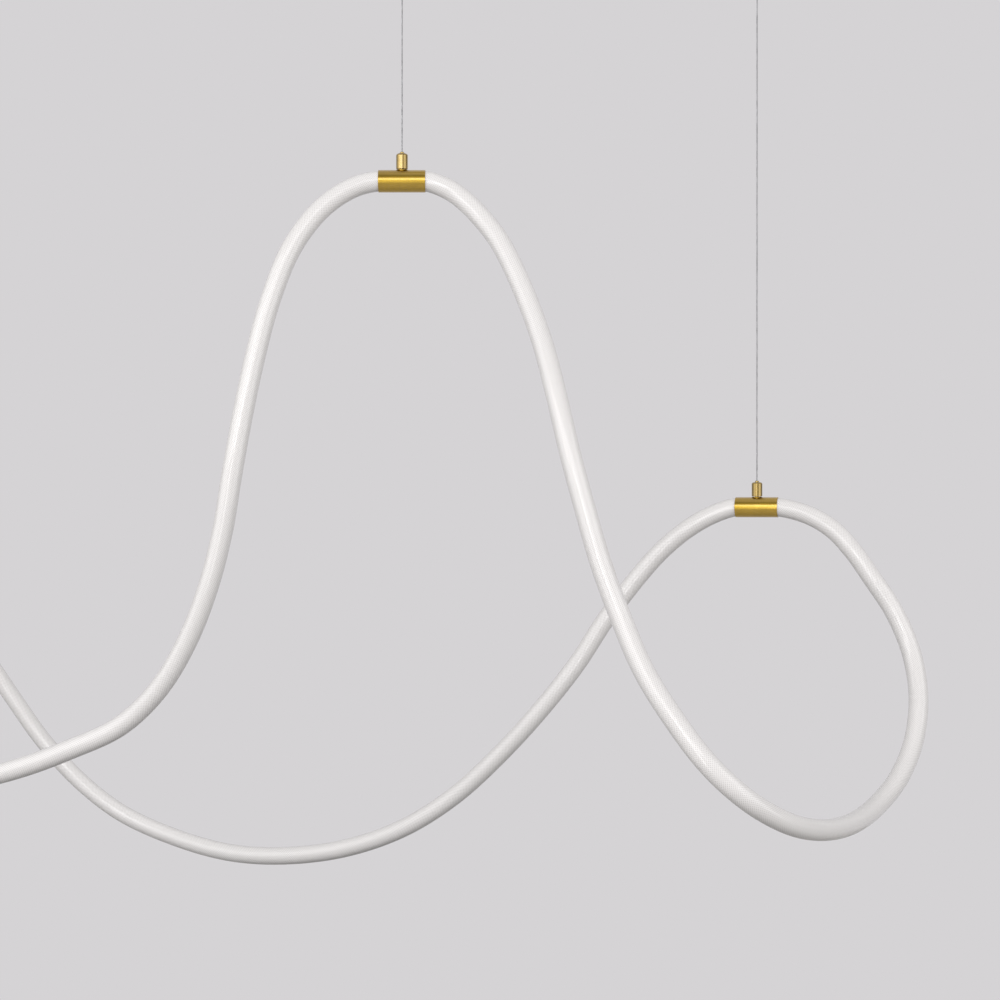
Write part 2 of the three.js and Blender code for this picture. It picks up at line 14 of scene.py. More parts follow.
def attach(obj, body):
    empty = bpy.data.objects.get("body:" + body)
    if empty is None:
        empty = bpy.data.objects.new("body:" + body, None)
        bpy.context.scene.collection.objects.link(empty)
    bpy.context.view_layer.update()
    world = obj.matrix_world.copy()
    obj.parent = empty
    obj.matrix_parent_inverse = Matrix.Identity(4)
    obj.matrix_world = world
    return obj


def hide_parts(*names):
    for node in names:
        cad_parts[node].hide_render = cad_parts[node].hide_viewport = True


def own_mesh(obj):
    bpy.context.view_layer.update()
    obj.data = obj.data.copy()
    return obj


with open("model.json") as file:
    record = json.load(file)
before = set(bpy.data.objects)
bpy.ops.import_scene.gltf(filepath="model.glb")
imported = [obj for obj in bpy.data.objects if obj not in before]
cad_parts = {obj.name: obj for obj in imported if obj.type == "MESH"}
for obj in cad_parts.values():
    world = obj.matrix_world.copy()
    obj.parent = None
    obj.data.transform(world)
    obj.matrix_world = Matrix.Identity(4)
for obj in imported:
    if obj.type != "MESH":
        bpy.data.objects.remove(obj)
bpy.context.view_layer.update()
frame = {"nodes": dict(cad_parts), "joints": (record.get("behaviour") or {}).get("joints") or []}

MM = 0.001
TURN = 2 * math.pi

# ---------------------------------------------------------------- sizes shared with the CAD

TOUCH_GAP = 0.3 * MM
TUBE_RADIUS = 10.3 * MM
SLEEVE_HALF = 23.5 * MM
SLEEVE_INNER = TUBE_RADIUS + TOUCH_GAP
SLEEVE_OUTER = SLEEVE_INNER + 0.6 * MM
BOSS_RADIUS = 5.2 * MM
BOSS_TOP = SLEEVE_OUTER + 0.5 * MM
MOUTH = SLEEVE_HALF + 1 * MM
TUBE_END = 8.3 * MM

# Heights in the gripper, above the holder's centre
BODY_BOTTOM = BOSS_TOP + TOUCH_GAP
SHOULDER = BODY_BOTTOM + 13.5 * MM
BODY_TOP = SHOULDER + 2.2 * MM
NOSE_TOP = BODY_TOP + 1.6 * MM
ROOF = BODY_TOP - 1.4 * MM
CAGE_TOP = ROOF - TOUCH_GAP
STUD_HEAD_BOTTOM = BODY_BOTTOM + 2.9 * MM
STUD_TOP = STUD_HEAD_BOTTOM + 1 * MM
SPRING_BOTTOM = STUD_TOP + TOUCH_GAP
SPRING_HEIGHT = 4.8 * MM
CAGE_BOTTOM = SPRING_BOTTOM + SPRING_HEIGHT + TOUCH_GAP
BALL_HEIGHT = CAGE_TOP - 1.9 * MM

# Radii in the gripper
BODY_RADIUS = 5.9 * MM
BODY_BORE = BODY_RADIUS - 2 * MM
TAPER_TOP = BODY_BORE - 0.9 * MM
DOME_RUN = 2.6 * MM
NOSE_RADIUS = 2.2 * MM
NOSE_HOLE = NOSE_RADIUS + TOUCH_GAP
CAGE_RADIUS = NOSE_HOLE + TOUCH_GAP
STUD_RADIUS = 2 * MM
STUD_HEAD_RADIUS = 3.2 * MM
STUD_FOOT_RADIUS = 3.5 * MM
STUD_FOOT_TOP = math.sqrt(SLEEVE_INNER**2 - STUD_FOOT_RADIUS**2) - TOUCH_GAP
STUD_FOOT_BOTTOM = STUD_FOOT_TOP - 1.4 * MM
STUD_HOLE = STUD_RADIUS + TOUCH_GAP
PLUG_RADIUS = STUD_HOLE + 1.3 * MM
PLUG_TOP = BODY_BOTTOM + 2.6 * MM
BALL_RADIUS = 1 * MM
BALL_COUNT = 3
NOSE_TRAVEL = 1.2 * MM

WIRE_RADIUS = 0.75 * MM
WIRE_HOLE = WIRE_RADIUS + TOUCH_GAP
WIRE_TOP = -2.3 * MM
BALL_CIRCLE = WIRE_HOLE + BALL_RADIUS
SPRING_WIRE = 0.225 * MM
SPRING_RADIUS = WIRE_HOLE + TOUCH_GAP + SPRING_WIRE
SPRING_TURNS = 4

# Heights in the ceiling fitting, down from the ceiling
PLATE_BOTTOM = -2.5 * MM
HUB_BOTTOM = PLATE_BOTTOM - 7.5 * MM
HUB_ROOF = -2 * MM
NIPPLE_TOP = HUB_BOTTOM + 4.8 * MM
FLANGE_TOP = HUB_BOTTOM - TOUCH_GAP
FLANGE_BOTTOM = FLANGE_TOP - 2.2 * MM
COLLAR_BOTTOM = FLANGE_BOTTOM - 3 * MM
TIP_BOTTOM = COLLAR_BOTTOM - 4.5 * MM
CAP_FLOOR = FLANGE_BOTTOM - TOUCH_GAP
CAP_WALL = 1.2 * MM
CAP_BOTTOM = CAP_FLOOR - CAP_WALL
CAP_RIM = -0.4 * MM
FERRULE_BOTTOM = NIPPLE_TOP + TOUCH_GAP
FERRULE_TOP = FERRULE_BOTTOM + 2.6 * MM

# Radii in the ceiling fitting
PLATE_RADIUS = 19 * MM
PLATE_HOLE = 2.2 * MM
PLATE_HOLE_OUT = 13 * MM
HUB_RADIUS = 6.5 * MM
HUB_BORE = 4.3 * MM
FLANGE_RADIUS = 5.2 * MM
COLLAR_RADIUS = 4 * MM
TIP_RADIUS = 2.2 * MM
CAP_RADIUS = 22 * MM
CAP_ROUND = 3 * MM
FERRULE_RADIUS = WIRE_HOLE + 1.3 * MM

# Feed gland, heights below the third holder's centre
GLAND_BORE = 2.5 * MM
GLAND_STEM = GLAND_BORE + 0.9 * MM
GLAND_FLANGE = 6 * MM
GLAND_TOP = -BOSS_TOP - TOUCH_GAP
GLAND_FLANGE_BOTTOM = GLAND_TOP - 2 * MM
NUT_TOP = GLAND_FLANGE_BOTTOM - TOUCH_GAP
NUT_BOTTOM = NUT_TOP - 8 * MM
NUT_SEAT = NUT_TOP - 4.3 * MM
NUT_RADIUS = 5.5 * MM

# ---------------------------------------------------------------- how finely shapes are drawn

STEPS_PER_SPAN = 24
RING_STEP = 3 * MM
TUBE_SIDES = 48
STRAND_SIDES = 6
SPRING_SIDES = 12
STEPS_PER_LAY = 12
STEPS_PER_COIL = 32

# Below these, a radius counts as 0, and a line's start as upright
ON_AXIS = 1e-7
UPRIGHT = 1e-6

# How far a drill or a bar reaches past what it cuts
OVERCUT = 1 * MM

# Points within this depth of the widest radius take the knurl or the ribs
SKIN = 0.05 * MM

# ---------------------------------------------------------------- the layout

FIRST_DROP = 0.3063
HOLDER_TURNS = (0, -16, 20)
FED_HOLDER = 2
holder_centres = [
    Vector(joint["pos_m"]) for joint in frame["joints"] if joint["name"].startswith("gripper_swivel")
]

# The tube's free lengths, from the first holder's centre
RIGHT_ROUTE = [
    (.0465, -.002, -.0084), (.061, -.006, -.019), (.077, -.014, -.0356), (.0975, -.027, -.0636),
    (.1195, -.045, -.1105), (.1386, -.065, -.1649), (.1524, -.085, -.2201), (.1645, -.1, -.2741),
    (.1783, -.11, -.3268), (.1929, -.12, -.3789), (.211, -.132, -.4289), (.2313, -.148, -.477),
    (.2581, -.165, -.5206), (.2886, -.178, -.5605), (.322, -.176, -.5912), (.361, -.152, -.6162),
    (.3973, -.115, -.6297), (.437, -.062, -.6332), (.4769, .002, -.6227), (.508, .047, -.5997),
    (.53, .084, -.5657), (.54, .113, -.5237), (.536, .134, -.4787), (.52, .147, -.4367),
    (.5, .154, -.4047), (.4796, .163, -.3737), (.4607, .174, -.3515), (.437, .188, -.3358),
]
BACK_ROUTE = [
    (.334, .222, -.335), (.3067, .227, -.351), (.2825, .232, -.3712), (.2597, .238, -.396),
    (.2194, .247, -.4491), (.1837, .255, -.5047), (.1422, .265, -.5583), (.0969, .28, -.6094),
    (.0463, .298, -.658), (-.012, .317, -.6977), (-.0787, .341, -.7252), (-.1509, .371, -.7402),
    (-.2249, .408, -.7435), (-.2993, .444, -.7307), (-.3713, .47, -.704), (-.428, .485, -.6637),
    (-.473, .492, -.6157), (-.511, .494, -.5627), (-.545, .493, -.5127), (-.577, .489, -.4727),
    (-.606, .483, -.4477),
]
LEFT_ROUTE = [
    (-.712, .447, -.4457), (-.74, .422, -.4647), (-.762, .381, -.4927), (-.773, .325, -.5237),
    (-.768, .265, -.5537), (-.743, .208, -.5787), (-.7, .158, -.5977), (-.645, .122, -.6107),
    (-.58, .096, -.6167), (-.515, .072, -.6157), (-.45, .048, -.6067), (-.39, .027, -.5907),
    (-.335, .012, -.5697), (-.282, 0, -.5447), (-.2419, -.013, -.5073), (-.2111, -.025, -.4584),
    (-.1889, -.034, -.4042), (-.1741, -.039, -.3491), (-.1646, -.04, -.2922), (-.1549, -.036, -.2357),
    (-.1435, -.031, -.1788), (-.1293, -.025, -.1227), (-.1081, -.018, -.0682), (-.079, -.011, -.0286),
    (-.0485, -.004, -.0068),
]


def holder_axis(index):
    """The way along a holder's sleeve."""
    angle = math.radians(HOLDER_TURNS[index])
    return Vector((math.cos(angle), math.sin(angle), 0))


def route_between(start, start_side, points, end, end_side):
    """Every point that a free length passes, with its straight ends inside the two holders."""
    def reach(index, side, distance):
        return holder_centres[index] + holder_axis(index) * side * distance

    return [
        reach(start, start_side, TUBE_END),
        reach(start, start_side, MOUTH),
        *[Vector((x, y, z - FIRST_DROP)) for x, y, z in points],
        reach(end, end_side, MOUTH),
        reach(end, end_side, TUBE_END),
    ]


def centripetal(points, per_span):
    """A centripetal Catmull-Rom curve through the points, straight in its first and last span."""
    knots = [points[0] * 2 - points[1], *points, points[-1] * 2 - points[-2]]
    line = [points[0].lerp(points[1], k / per_span) for k in range(per_span)]
    for k in range(1, len(points) - 2):
        a, b, c, d = knots[k:k + 4]
        ab, bc, cd = (math.sqrt((q - p).length) for p, q in ((a, b), (b, c), (c, d)))
        leave = ((b - a) / ab - (c - a) / (ab + bc) + (c - b) / bc) * bc
        arrive = ((c - b) / bc - (d - b) / (bc + cd) + (d - c) / cd) * bc
        for j in range(per_span):
            t = j / per_span
            line.append(
                b * (2 * t**3 - 3 * t**2 + 1) + leave * (t**3 - 2 * t**2 + t)
                + c * (3 * t**2 - 2 * t**3) + arrive * (t**3 - t**2)
            )
    line += [points[-2].lerp(points[-1], k / per_span) for k in range(per_span + 1)]
    return np.array(line)


def evenly(line, step):
    """The line again, with points about step apart."""
    along = np.concatenate([[0], np.cumsum(np.linalg.norm(np.diff(line, axis=0), axis=1))])
    at = np.linspace(0, along[-1], round(along[-1] / step) + 1)
    return np.stack([np.interp(at, along, line[:, k]) for k in range(3)], axis=1), at


def carried_frames(line):
    """Two directions across the line at each point, carried along it without twist."""
    tangents = np.gradient(line, axis=0)
    tangents /= np.linalg.norm(tangents, axis=1)[:, None]
    side = np.cross(tangents[0], (0.0, 0.0, 1.0))
    if np.linalg.norm(side) < UPRIGHT:
        side = np.array((1.0, 0.0, 0.0))
    sides = []
    for tangent in tangents:
        side = side - tangent * (side @ tangent)
        side /= np.linalg.norm(side)
        sides.append(side)
    sides = np.array(sides)
    return sides, np.cross(tangents, sides)


# ---------------------------------------------------------------- camera

SENSOR_WIDTH = 36
LENS = 72
VIEWPOINT = (0.098, -2.0, -0.625)
LEVEL = (math.pi / 2, 0, 0)


def make_camera():
    """A level camera that looks along +Y."""
    data = bpy.data.cameras.new("camera")
    data.sensor_width = SENSOR_WIDTH
    data.lens = LENS
    camera = bpy.data.objects.new("camera", data)
    camera.location = VIEWPOINT
    camera.rotation_euler = LEVEL
    bpy.context.scene.collection.objects.link(camera)
    bpy.context.scene.camera = camera


make_camera()
bpy.context.scene.view_settings.view_transform = "Standard"

# ---------------------------------------------------------------- mesh helpers


def add_piece(name, mesh, body, material, replaced=(), place=None):
    """A named piece of the lamp that moves with a CAD body and stands for the CAD nodes it replaces."""
    piece = bpy.data.objects.new(name, mesh)
    bpy.context.scene.collection.objects.link(piece)
    mesh.materials.clear()
    mesh.materials.append(material)
    if place is not None:
        piece.matrix_world = place
    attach(piece, body)
    if replaced:
        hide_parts(*replaced)
    return piece


def mesh_of(name, points, faces):
    """A smooth-shaded mesh from its points and faces."""
    mesh = bpy.data.meshes.new(name)
    mesh.from_pydata([tuple(p) for p in points], [], faces)
    mesh.update()
    mesh.shade_smooth()
    return mesh


def mesh_from(work, name):
    """The finished bmesh as a mesh."""
    mesh = bpy.data.meshes.new(name)
    work.to_mesh(mesh)
    work.free()
    return mesh


def box_mesh(low, high):
    points = [(x, y, z) for x in (low[0], high[0]) for y in (low[1], high[1]) for z in (low[2], high[2])]
    faces = [(0, 1, 3, 2), (4, 6, 7, 5), (0, 4, 5, 1), (2, 3, 7, 6), (0, 2, 6, 4), (1, 5, 7, 3)]
    return mesh_of("box", points, faces)


def tube_faces(rings, sides_round):
    """The sides between each ring of points and the next, and a fan of triangles over each end."""
    faces = []
    for i in range(rings - 1):
        low, high = i * sides_round, (i + 1) * sides_round
        for k in range(sides_round):
            after = (k + 1) % sides_round
            faces.append((low + k, low + after, high + after, high + k))
    last_ring = (rings - 1) * sides_round
    first_middle, last_middle = rings * sides_round, rings * sides_round + 1
    for k in range(sides_round):
        after = (k + 1) % sides_round
        faces.append((first_middle, after, k))
        faces.append((last_middle, last_ring + k, last_ring + after))
    return faces


def tube_marks(along, sides_round):
    """The UV map for tube_faces, corner by corner: (share of the way round, metres along)."""
    marks = []
    for low, high in zip(along, along[1:]):
        for k in range(sides_round):
            here, after = k / sides_round, (k + 1) / sides_round
            marks += [(here, low), (after, low), (after, high), (here, high)]
    ends = [(0, along[0])] * 3 + [(0, along[-1])] * 3
    return marks + ends * sides_round


def tube_mesh(name, line, sides_round, radius, along=None):
    """A closed round tube that follows the line; it has a UV map if the metres along are given."""
    across, up = carried_frames(line)
    angles = np.linspace(0, TURN, sides_round, endpoint=False)
    circle = np.cos(angles)[None, :, None] * across[:, None] + np.sin(angles)[None, :, None] * up[:, None]
    rings = line[:, None] + radius * circle
    points = np.concatenate([rings.reshape(-1, 3), line[[0, -1]]])
    mesh = mesh_of(name, points, tube_faces(len(line), sides_round))
    if along is not None:
        layer = mesh.uv_layers.new(name="along")
        layer.data.foreach_set("uv", np.array(tube_marks(along, sides_round), np.float32).ravel())
    return mesh


def rounded(corners, steps=4):
    """A closed outline of (radius, height, rounding) corners, each rounded by an arc."""
    points = []
    count = len(corners)
    for k, (r, z, rounding) in enumerate(corners):
        here = Vector((r, z))
        if rounding == 0:
            points.append((r, z))
            continue
        before = Vector(corners[k - 1][:2]) - here
        after = Vector(corners[(k + 1) % count][:2]) - here
        half = before.angle(after) / 2
        run = rounding / math.tan(half)
        centre = here + (before.normalized() + after.normalized()).normalized() * rounding / math.sin(half)
        start = here + before.normalized() * run - centre
        end = here + after.normalized() * run - centre
        sweep = start.angle_signed(end)
        for j in range(steps + 1):
            turned_by = Matrix.Rotation(-sweep * j / steps, 2)
            points.append(tuple(centre + turned_by @ start))
    return points


def lathe(name, outline, segments=96, shape=None):
    """A solid turned about Z from a closed outline; shape(angle, radius, height) gives a point's radius."""
    points, index = [], {}
    count = len(outline)

    def place(k, j):
        radius, height = outline[k]
        key = (k, 0) if radius < ON_AXIS else (k, j % segments)
        if key not in index:
            angle = TURN * key[1] / segments
            if shape and radius > 0:
                radius = shape(angle, radius, height)
            index[key] = len(points)
            points.append((radius * math.cos(angle), radius * math.sin(angle), height))
        return index[key]

    faces = []
    for k in range(count):
        following = (k + 1) % count
        if outline[k][0] < ON_AXIS and outline[following][0] < ON_AXIS:
            continue
        for j in range(segments):
            corners = [place(k, j), place(k, j + 1), place(following, j + 1), place(following, j)]
            faces.append(tuple(dict.fromkeys(corners)))
    mesh = mesh_of(name, points, faces)
    tidy_normals(mesh)
    return mesh


def rod(name, radius, low, high, segments):
    """A plain rod up the Z axis, for drilling with."""
    return lathe(name, [(0, low), (radius, low), (radius, high), (0, high)], segments)


def tidy_normals(mesh):
    """Turns every face outward."""
    work = bmesh.new()
    work.from_mesh(mesh)
    bmesh.ops.recalc_face_normals(work, faces=work.faces)
    work.to_mesh(mesh)
    work.free()


def even_shading(piece):
    """Wide faces keep their own direction, and the rounding between them takes the change."""
    piece.modifiers.new("even_shading", "WEIGHTED_NORMAL").keep_sharp = True


def add_hard_pieces(number, place, rows):
    """One numbered piece for each row of (name, mesh, body, material, slot, CAD node)."""
    for name, mesh, body, material, slot, node in rows:
        even_shading(add_piece(
            f"{name}_{number}", mesh, body, material, [f"{node}_{number}"], place))


def cut(mesh, tool, operation):
    """The mesh after a boolean with another mesh."""
    body = bpy.data.objects.new("cut_body", mesh)
    other = bpy.data.objects.new("cut_tool", tool)
    for part in (body, other):
        bpy.context.scene.collection.objects.link(part)
    boolean = body.modifiers.new("cut", "BOOLEAN")
    boolean.object = other
    boolean.operation = operation
    boolean.solver = "EXACT"
    result = bpy.data.meshes.new_from_object(body.evaluated_get(bpy.context.evaluated_depsgraph_get()))
    for part in (body, other):
        bpy.data.objects.remove(part)
    result.name = mesh.name + "_cut"
    return result


# ---------------------------------------------------------------- material helpers


class Nodes:
    """A tree of nodes, with short calls for the few kinds used here."""

    def __init__(self, tree):
        self.tree = tree

    def add(self, kind, **values):
        node = self.tree.nodes.new(kind)
        for key, value in values.items():
            setattr(node, key, value)
        return node

    def link(self, source, target):
        self.tree.links.new(source, target)

    def feed(self, socket, value):
        if isinstance(value, bpy.types.NodeSocket):
            self.link(value, socket)
        else:
            socket.default_value = value

    def math(self, operation, *values):
        node = self.add("ShaderNodeMath", operation=operation)
        for socket, value in zip(node.inputs, values):
            self.feed(socket, value)
        return node.outputs[0]

    def axes(self, vector):
        node = self.add("ShaderNodeSeparateXYZ")
        self.link(vector, node.inputs[0])
        return node.outputs

    def vector(self, x, y, z=0.0):
        node = self.add("ShaderNodeCombineXYZ")
        for socket, value in zip(node.inputs, (x, y, z)):
            self.feed(socket, value)
        return node.outputs[0]

    def coordinates(self, output="Object"):
        return self.add("ShaderNodeTexCoord").outputs[output]

    def noise(self, vector, scale, detail=2.0, roughness=0.5):
        node = self.add("ShaderNodeTexNoise")
        self.link(vector, node.inputs["Vector"])
        node.inputs["Scale"].default_value = scale
        node.inputs["Detail"].default_value = detail
        node.inputs["Roughness"].default_value = roughness
        return node.outputs["Fac"]

    def between(self, value, low, high, to_low, to_high, course="LINEAR"):
        node = self.add("ShaderNodeMapRange", interpolation_type=course)
        for socket, number in zip(node.inputs, (value, low, high, to_low, to_high)):
            self.feed(socket, number)
        return node.outputs[0]

    def mix(self, share, first, second):
        node = self.add("ShaderNodeMix", data_type="RGBA")
        self.feed(node.inputs[0], share)
        self.feed(node.inputs[6], first)
        self.feed(node.inputs[7], second)
        return node.outputs[2]

    def bump(self, height, strength, distance):
        node = self.add("ShaderNodeBump")
        node.inputs["Strength"].default_value = strength
        node.inputs["Distance"].default_value = distance
        self.link(height, node.inputs["Height"])
        return node.outputs[0]


class MaterialNodes(Nodes):
    """The nodes of a new material."""

    def __init__(self, name):
        self.material = bpy.data.materials.new(name)
        self.material.use_nodes = True
        super().__init__(self.material.node_tree)
        self.shader = self.tree.nodes["Principled BSDF"]

    def set(self, **values):
        """Sets or feeds the shader's inputs; coat_ior is the input called Coat IOR."""
        for key, value in values.items():
            self.feed(self.shader.inputs[key.replace("_", " ").title().replace("Ior", "IOR")], value)


def rgb(red, green, blue):
    """A colour as written on screen, 0 to 255, as the linear values that a shader takes."""
    def linear(value):
        value /= 255
        return value / 12.92 if value <= 0.04045 else ((value + 0.055) / 1.055) ** 2.4

    return (linear(red), linear(green), linear(blue), 1)


def dimmed(colour, share):
    """A share of the colour, as a shader takes it."""
    return (*(part * share for part in colour), 1)


def braid_weave(nodes, around, along):
    """A fine braid: 1 along the middle of a thread, and less between the threads."""
    count = 26
    pitch = TURN * TUBE_RADIUS / count
    threads = nodes.math("MULTIPLY", around, float(count))
    rows = nodes.math("DIVIDE", along, pitch)

    def thread(slanted):
        share = nodes.math("FRACT", slanted)
        off_centre = nodes.math("ABSOLUTE", nodes.math("SUBTRACT", share, 0.5))
        return nodes.between(off_centre, 0.0, 0.5, 1.0, 0.0)

    rising = nodes.math("ADD", threads, rows)
    falling = nodes.math("SUBTRACT", threads, rows)
    return nodes.math("MAXIMUM", thread(rising), thread(falling))


def tube_material():
    """Glossy opal silicone: the braid shows through a clear skin that dims towards the edges; the gaps
    between its threads are painted grey, as painted shade.
    """
    dull_white, full_white = (0.91, 0.885, 0.878, 1), (0.955, 0.929, 0.918, 1)
    # Painted shade: the darker grey that the gaps between the braid's threads are painted
    gap_shade_grey = (0.66, 0.635, 0.625, 1)
    streaks_around, streaks_per_metre = 60.0, 1.5
    nodes = MaterialNodes("opal_silicone")
    around, along, _ = nodes.axes(nodes.coordinates("UV"))
    weave = braid_weave(nodes, around, along)
    # Where the threads part, the colour turns to the painted shade grey
    shaded_gaps = nodes.between(weave, 0.3, 0.7, 0.0, 1.0)
    lengthwise = nodes.vector(
        nodes.math("MULTIPLY", around, streaks_around), nodes.math("MULTIPLY", along, streaks_per_metre))
    streaks = nodes.noise(lengthwise, scale=1.0, detail=3.0)
    clouds = nodes.noise(nodes.coordinates(), scale=14.0, detail=3.0)
    nodes.set(
        base_color=nodes.mix(shaded_gaps, gap_shade_grey, nodes.mix(clouds, dull_white, full_white)),
        roughness=nodes.between(streaks, 0.3, 0.7, 0.4, 0.55),
        specular_ior_level=0.3,
        normal=nodes.bump(weave, strength=0.5, distance=0.25 * MM),
        coat_weight=1.0,
        coat_roughness=0.07,
        coat_ior=1.45,
        coat_tint=(0.8, 0.8, 0.8, 1),
    )
    return nodes.material


def brass_material(name, dark, light, along_x=False):
    """Turned and lacquered brass: fine rings round its axis, and a slightly uneven tone."""
    ring_brown = (0.30, 0.17, 0.01, 1)
    rings_per_metre = 2600.0
    nodes = MaterialNodes(name)
    place = nodes.coordinates()
    x, y, z = nodes.axes(place)
    axial, first, second = (x, y, z) if along_x else (z, x, y)
    squares = [nodes.math("MULTIPLY", side, side) for side in (first, second)]
    radius = nodes.math("SQRT", nodes.math("ADD", *squares))
    rings = nodes.noise(nodes.vector(radius, axial), rings_per_metre, detail=3.0, roughness=0.6)
    clouds = nodes.noise(place, scale=60.0, detail=3.0)
    clean = nodes.mix(nodes.between(clouds, 0.35, 0.65, 0.0, 1.0), dark, light)
    nodes.set(
        base_color=nodes.mix(nodes.between(rings, 0.3, 0.62, 0.0, 0.16), clean, ring_brown),
        metallic=1.0,
        roughness=nodes.between(rings, 0.3, 0.7, 0.27, 0.34),
        coat_weight=1.0,
        coat_roughness=0.11,
        coat_ior=1.7,
        normal=nodes.bump(rings, strength=0.1, distance=0.01 * MM),
    )
    return nodes.material


def steel_material(name, colour=(0.55, 0.55, 0.56), grain=900.0, roughness=(0.25, 0.4)):
    """Plain steel with a fine uneven grain."""
    nodes = MaterialNodes(name)
    place = nodes.coordinates()
    grain_noise = nodes.noise(place, grain, detail=4.0, roughness=0.6)
    clouds = nodes.noise(place, scale=120.0, detail=2.0)
    nodes.set(
        base_color=nodes.mix(
            nodes.between(clouds, 0.35, 0.65, 0.0, 1.0), dimmed(colour, 0.72), dimmed(colour, 1)),
        metallic=1.0,
        roughness=nodes.between(grain_noise, 0.3, 0.7, *roughness),
        normal=nodes.bump(grain_noise, strength=0.15, distance=0.02 * MM),
    )
    return nodes.material


def plastic_material(name, colour, roughness=0.45):
    """Moulded plastic with a faint spark-eroded grain."""
    nodes = MaterialNodes(name)
    place = nodes.coordinates()
    grain = nodes.noise(place, scale=2600.0, detail=3.0, roughness=0.6)
    clouds = nodes.noise(place, scale=60.0, detail=2.0)
    nodes.set(
        base_color=nodes.mix(clouds, dimmed(colour, 0.93), dimmed(colour, 1)),
        roughness=nodes.between(grain, 0.3, 0.7, roughness - 0.06, roughness + 0.08),
        normal=nodes.bump(grain, strength=0.2, distance=0.03 * MM),
    )
    return nodes.material


# ---------------------------------------------------------------- the light tube

silicone = tube_material()


def make_tube(name, *route):
    """One length of light tube between two holders."""
    line, along = evenly(centripetal(route_between(*route), STEPS_PER_SPAN), RING_STEP)
    mesh = tube_mesh(f"tube_{name}", line, TUBE_SIDES, TUBE_RADIUS, along)
    piece = add_piece(f"tube_{name}", mesh, "lamp", silicone, [f"light_tube_{name}"])


# Each length's first holder and its side (1 is towards +X), the way, and the last holder and its side
make_tube("right", 0, 1, RIGHT_ROUTE, 1, 1)
make_tube("back", 1, -1, BACK_ROUTE, 2, 1)
make_tube("left", 2, -1, LEFT_ROUTE, 0, -1)

# ---------------------------------------------------------------- wires

WIRE_LAY = 14 * MM
OUTER_STRANDS = 6

wire_steel = steel_material("wire_steel", (0.45, 0.45, 0.46), grain=3000.0)


def rope_mesh(name, centre, heights):
    """Six thin wires laid round a seventh, all joined in one mesh."""
    strand_radius = WIRE_RADIUS / 3
    lay_angle = TURN * (heights - heights[0]) / WIRE_LAY
    points, faces = [], []
    for strand in range(OUTER_STRANDS + 1):
        angle = TURN * strand / OUTER_STRANDS + lay_angle
        reach = 0 if strand == OUTER_STRANDS else 2 * strand_radius
        line = np.stack([
            centre.x + reach * np.cos(angle), centre.y + reach * np.sin(angle), heights,
        ], axis=1)
        one = tube_mesh("strand", line, STRAND_SIDES, strand_radius)
        start = len(points)
        points += [tuple(v.co) for v in one.vertices]
        faces += [tuple(start + v for v in p.vertices) for p in one.polygons]
        bpy.data.meshes.remove(one)
    return mesh_of(name, points, faces)


def make_wire(index):
    """The wire from a holder's gripper up to its ceiling fitting."""
    number = index + 1
    centre = holder_centres[index]
    low = centre.z + STUD_TOP + TOUCH_GAP
    length = WIRE_TOP - low
    heights = np.linspace(low, WIRE_TOP, round(length / (WIRE_LAY / STEPS_PER_LAY)) + 1)
    name = f"wire_rope_{number}"
    piece = add_piece(
        name, rope_mesh(name, centre, heights), f"gripper_{number}", wire_steel,
        [f"wire_{number}"])


for holder in range(len(holder_centres)):
    make_wire(holder)

# ---------------------------------------------------------------- other materials

turned_brass = brass_material("turned_brass", (0.34, 0.228, 0.04, 1), (0.39, 0.267, 0.06, 1))
sleeve_brass = brass_material("sleeve_brass", (0.46, 0.29, 0.008, 1), (0.52, 0.33, 0.015, 1), along_x=True)
steel = steel_material("plain_steel")
ball_steel = steel_material("ball_steel", (0.6, 0.6, 0.61), grain=400.0, roughness=(0.08, 0.14))
spring_steel = steel_material("spring_steel", (0.3, 0.3, 0.31), grain=3000.0)
joiner_plastic = plastic_material("joiner_plastic", (0.7, 0.7, 0.68))
gland_plastic = plastic_material("gland_plastic", (0.62, 0.62, 0.6))
led_strip = plastic_material("led_strip", (0.8, 0.72, 0.42), roughness=0.5)

# ---------------------------------------------------------------- holders


def at_holder(index):
    """The frame of a holder: its centre, with X along its sleeve."""
    turn = Matrix.Rotation(math.radians(HOLDER_TURNS[index]), 4, "Z")
    return Matrix.Translation(holder_centres[index]) @ turn


def add_neck(mesh, radius, hole, side):
    """The sleeve with a short drilled neck on its upper (1) or lower (-1) side."""
    inside = SLEEVE_INNER - 0.5 * MM
    neck = lathe("neck", rounded([
        (0, inside, 0), (radius, inside, 0), (radius, BOSS_TOP, 0.2 * MM), (0, BOSS_TOP, 0),
    ]), segments=96)
    drill = rod("drill", hole, inside - OVERCUT, BOSS_TOP + OVERCUT, segments=64)
    bore = rod("bore", SLEEVE_INNER, -radius - OVERCUT, radius + OVERCUT, segments=128)
    bore.transform(Matrix.Rotation(math.pi / 2, 4, "Y"))
    for part in (neck, drill):
        part.transform(Matrix.Diagonal((1, 1, side, 1)))
        tidy_normals(part)
    neck = cut(neck, bore, "DIFFERENCE")
    return cut(cut(mesh, neck, "UNION"), drill, "DIFFERENCE")


